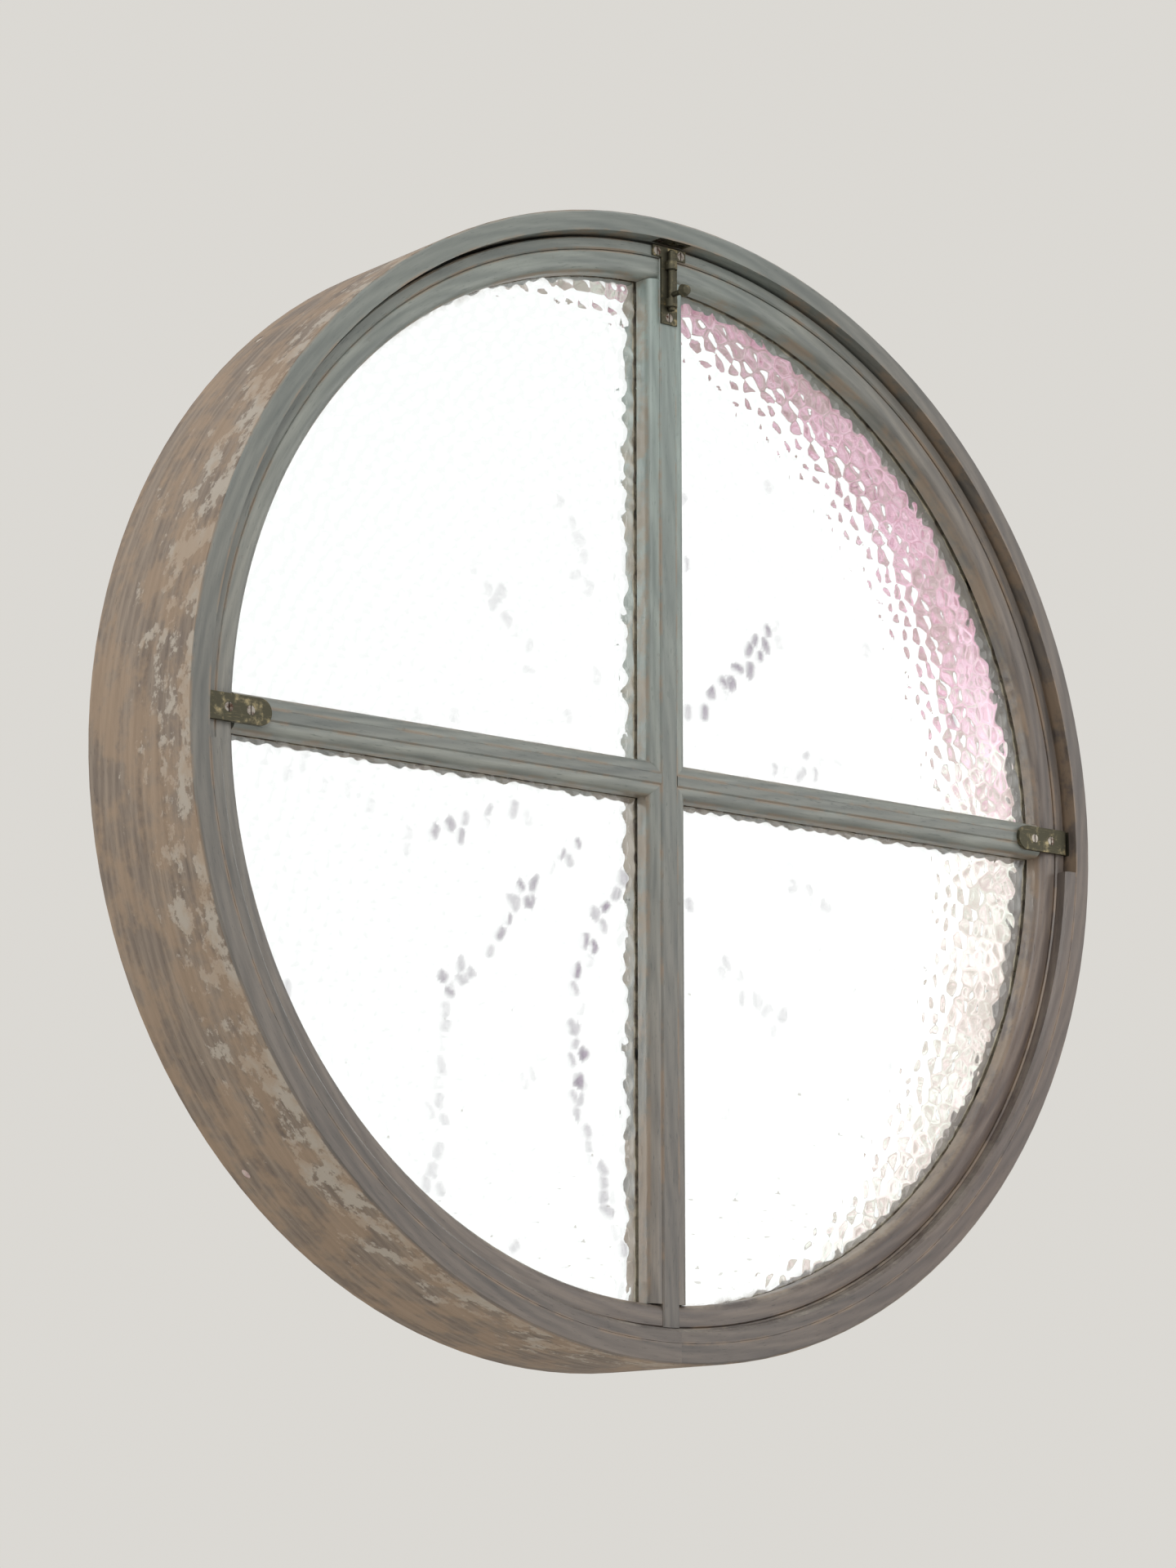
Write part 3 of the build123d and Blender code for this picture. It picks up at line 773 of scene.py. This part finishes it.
def pebbled_glass():
    """Clear glass with dirt and painted shade along its edges, and the dark strokes in its pebbles."""
    material, tree, surface = empty_material("pebbled_glass_finish")
    where = piece_place(tree)
    place, reach = place_and_reach(tree, where)
    smear = noise(tree, where, 90.0, detail=5.0, roughness=0.65)
    near_rim = soft_step(tree, reach, *rim_dirt_and_shade)
    near_upright = soft_step(tree, calc(tree, "ABSOLUTE", place["X"]), *upright_dirt_and_shade)
    near_level = soft_step(tree, calc(tree, "ABSOLUTE", place["Z"]), *level_dirt_and_shade)
    corner = calc(tree, "MAXIMUM", near_rim, calc(tree, "MAXIMUM", near_upright, near_level))
    # Dirt and painted shade in the corners where the glass meets the timber.
    grime_and_shade = calc(tree, "MULTIPLY", corner, soft_step(tree, smear, 0.35, 0.7))
    string = add_node(tree, "ShaderNodeAttribute", attribute_name="dark_pebble").outputs["Fac"]
    clear = blend_colours(tree, calc(tree, "MULTIPLY", grime_and_shade, 0.5), clear_glass, dirt_and_shade_colour)
    rough = calc(tree, "MULTIPLY_ADD", smear, 0.05, 0.015)
    close_finish(tree, surface, {
        "Base Color": blend_colours(tree, calc(tree, "MULTIPLY", string, 0.95), clear, stroke_colour),
        "Roughness": calc(tree, "ADD", rough, calc(tree, "MULTIPLY", grime_and_shade, 0.25)),
        "Transmission Weight": 1.0, "IOR": 1.5,
    })
    return material


glass = pebbled_glass()
for quarter in quarters:
    pane = cut_pane(quarter)
    room_points = press_pebbles(pane)
    pane.data.materials.append(glass)
    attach(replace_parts(pane, f"pane_{quarter}"), "sash")
    print(pane.name, "has", len(pane.data.polygons), "faces,", room_points, "points on its room side")

# %% [markdown]
# ## Pins and nails
#
# The beads are held by thin pins, punched just below the face, and the stops by larger nails. Only
# their heads show, as small dull dots. They could be cut into the beads, but separate heads leave
# the timber whole. One head is modelled and copied to each place: a short cylinder, with its face
# inset and the inner part pushed in.

# %% One head, and its copies
head_height, head_sides = 0.0012, 14
rim_width, dish_depth = 0.35, 0.22  # as shares of the radius


def make_head(radius):
    """A punched head that looks towards the room: its face is at the origin, facing -y."""
    bpy.ops.object.select_all(action="DESELECT")
    bpy.ops.mesh.primitive_cylinder_add(
        vertices=head_sides, radius=radius, depth=head_height, location=(0, head_height / 2, 0),
        rotation=(math.pi / 2, 0, 0),
    )
    head = bpy.context.object
    fix_place(head)
    select_faces(head, lambda face: face.normal.y < -0.9)
    bpy.ops.object.mode_set(mode="EDIT")
    bpy.ops.mesh.inset(thickness=radius * rim_width)
    bpy.ops.transform.translate(value=(0, radius * dish_depth, 0))
    bpy.ops.object.mode_set(mode="OBJECT")
    bpy.ops.object.shade_smooth_by_angle(angle=math.radians(35))
    return head


def place_heads(name, radius, places, body):
    """Copy one head to many places, and join the copies into one piece."""
    head = make_head(radius)
    copies = []
    for point, faces in places:
        select_only(head)
        bpy.ops.object.duplicate(linked=False)
        copy = bpy.context.object
        copy.rotation_mode = "QUATERNION"
        copy.rotation_quaternion = Vector((0, -1, 0)).rotation_difference(Vector(faces))
        copy.location = point
        fix_place(copy)
        copies.append(copy)
    bpy.data.objects.remove(head)
    select_only(copies[0])
    for copy in copies:
        copy.select_set(True)
    bpy.ops.object.join()
    joined = bpy.context.object
    joined.name = joined.data.name = name
    joined.data.materials.append(steel)
    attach(joined, body)
    print(name, "has", len(copies), "heads")


print("a head has", head_sides, "sides")

# %% [markdown]
# A joiner spaces pins by eye, so each place is moved a little by chance. The nails go outwards
# through the stops into the hoop: the upper stop is on the weather side and the lower one on the
# room side.

# %% Where the pins are
pin_radius = 0.0007
bead_face, towards_room = -0.01405, (0, -1, 0)
curved_pin_reach, upright_pin_aside, level_pin_aside = 0.3085, 0.0073, 0.0044
curved_pin_angles, straight_pin_runs = (18, 45, 72), (0.07, 0.2)
angle_chance, run_chance = 3, 0.012  # how far chance moves a pin, in degrees and in metres
pin_places = []
for across_x, up_z in quarters.values():
    for angle in curved_pin_angles:
        spread = math.radians(angle + random.uniform(-angle_chance, angle_chance))
        x, z = curved_pin_reach * math.cos(spread), curved_pin_reach * math.sin(spread)
        pin_places.append(((across_x * x, bead_face, up_z * z), towards_room))
    for run in straight_pin_runs:
        shift = random.uniform(-run_chance, run_chance)
        pin_places.append(((across_x * upright_pin_aside, bead_face, up_z * (run + shift)), towards_room))
        pin_places.append(((across_x * (run - shift), bead_face, up_z * level_pin_aside), towards_room))
place_heads("bead_pin_heads", pin_radius, pin_places, "sash")

# %% Where the nails are
nail_radius = 0.0012
nail_reach, nail_depth = 0.31395, 0.0193
nail_places = []
for level in (1, -1):
    for angle in (20, 55, 90, 125, 160):
        spread = math.radians(angle)
        way = Vector((math.cos(spread), 0, level * math.sin(spread)))
        nail_places.append((way * nail_reach + Vector((0, level * nail_depth, 0)), -way))
place_heads("stop_nail_heads", nail_radius, nail_places, "frame")

# %% [markdown]
# ## Floor, light and background
#
# The studio is plain: a pale floor below the window and a pale surround. A white backdrop could
# stand behind the window, but the surround is written in the world, because it can then shine whiter
# for rays that go through the glass than for those that light the timber. Far from the window the
# floor takes the colour of the surround, so that no horizon shows.

# %% The floor
surround_colour = colour(0.86, 0.85, 0.83)
floor_level, floor_size = -0.66, 14
floor_fade = (0.9, 2.5)  # distances over which the floor turns into the surround


def make_floor():
    """A plain pale floor that keeps the shadow, and fades out far away."""
    bpy.ops.object.select_all(action="DESELECT")
    bpy.ops.mesh.primitive_plane_add(size=floor_size, location=(0, 0, floor_level))
    floor = bpy.context.object
    floor.name = floor.data.name = "floor"
    fix_place(floor)
    material, tree, surface = empty_material("floor_finish")
    where = piece_place(tree)
    tint = blend_colours(tree, noise(tree, where, 3.0), colour(0.88, 0.87, 0.85), colour(0.91, 0.90, 0.88))
    near = add_node(tree, "ShaderNodeBsdfPrincipled", {"Base Color": tint, "Roughness": 0.7})
    far = add_node(tree, "ShaderNodeEmission", {"Color": surround_colour, "Strength": 1.0})
    away = add_node(tree, "ShaderNodeVectorMath", {0: where}, operation="LENGTH").outputs["Value"]
    path = add_node(tree, "ShaderNodeLightPath").outputs
    seen = calc(tree, "MAXIMUM", path["Is Camera Ray"], path["Is Transmission Ray"])
    fade = calc(tree, "MULTIPLY", soft_step(tree, away, *floor_fade), seen)
    mixed = add_node(tree, "ShaderNodeMixShader", {0: fade, 1: near.outputs[0], 2: far.outputs[0]})
    feed(tree, surface, mixed.outputs[0])
    floor.data.materials.append(material)


make_floor()
print("the floor is at", floor_level, "m")

# %% The world


def make_world():
    """A pale surround for the camera, white through glass and in metal, and softer as light."""
    world = bpy.data.worlds.new("surround")
    bpy.context.scene.world = world
    world.use_nodes = True
    tree = world.node_tree
    tree.nodes.clear()
    path = add_node(tree, "ShaderNodeLightPath").outputs
    light = add_node(tree, "ShaderNodeBackground", {"Color": colour(0.95, 0.96, 0.97), "Strength": 0.55})
    seen = add_node(tree, "ShaderNodeBackground", {"Color": surround_colour, "Strength": 1.0})
    beyond = add_node(tree, "ShaderNodeBackground", {"Color": (1, 1, 1, 1), "Strength": 1.0})
    through = calc(tree, "MAXIMUM", path["Is Transmission Ray"], path["Is Glossy Ray"])
    camera_ray = path["Is Camera Ray"]
    first = add_node(tree, "ShaderNodeMixShader", {0: camera_ray, 1: light.outputs[0], 2: seen.outputs[0]})
    second = add_node(tree, "ShaderNodeMixShader", {0: through, 1: first.outputs[0], 2: beyond.outputs[0]})
    add_node(tree, "ShaderNodeOutputWorld", {"Surface": second.outputs[0]})


make_world()
print("the surround is made")

# %% [markdown]
# A sun lamp would throw hard shadows, so the light is soft and comes from large round lamps: two on
# the room side, and two behind for the daylight and the sky. They are no stronger than a colour
# needs to render about as it is written.

# %% The lamps


def add_lamp(name, place, size, power, tint):
    """A round lamp that looks at the window."""
    lamp = bpy.data.lights.new(name, "AREA")
    lamp.shape, lamp.size, lamp.energy, lamp.color = "DISK", size, power, tint
    holder = bpy.data.objects.new(name, lamp)
    bpy.context.scene.collection.objects.link(holder)
    holder.location = place
    holder.rotation_euler = (-Vector(place)).to_track_quat("-Z", "Y").to_euler()


# name, place, size, power, tint
add_lamp("room_light", (-1.6, -2.2, 1.5), 1.6, 34, (1.0, 0.99, 0.97))
add_lamp("room_fill", (1.9, -1.9, 0.2), 1.8, 12, (1.0, 0.97, 0.95))
add_lamp("daylight", (-1.5, 2.3, 0.3), 1.8, 46, (0.97, 1.0, 0.99))
add_lamp("sky_light", (-1.2, 1.5, 2.2), 1.6, 24, (0.97, 0.99, 1.0))
print(len(bpy.data.lights), "lamps in the file")

# %% [markdown]
# ## The camera
#
# The window was seen from below and from the left. The camera stands about 2.4 m away at that
# angle, and looks a little behind and to the left of the middle, so that the whole hoop sits in the
# middle of the picture.

# %% The camera and the picture settings
camera = bpy.data.objects.new("camera", bpy.data.cameras.new("camera"))
bpy.context.scene.collection.objects.link(camera)
camera.location = (-1.498, -1.799, -0.474)
aim = Vector((-0.029, 0.024, 0.0))
camera.rotation_euler = (aim - camera.location).to_track_quat("-Z", "Y").to_euler()
camera.data.lens = 95
camera.data.sensor_width = 36
camera.data.clip_start, camera.data.clip_end = 0.01, 50
bpy.context.scene.camera = camera
bpy.context.scene.view_settings.view_transform = "Standard"
print("the camera is", round(camera.location.length, 2), "m away")
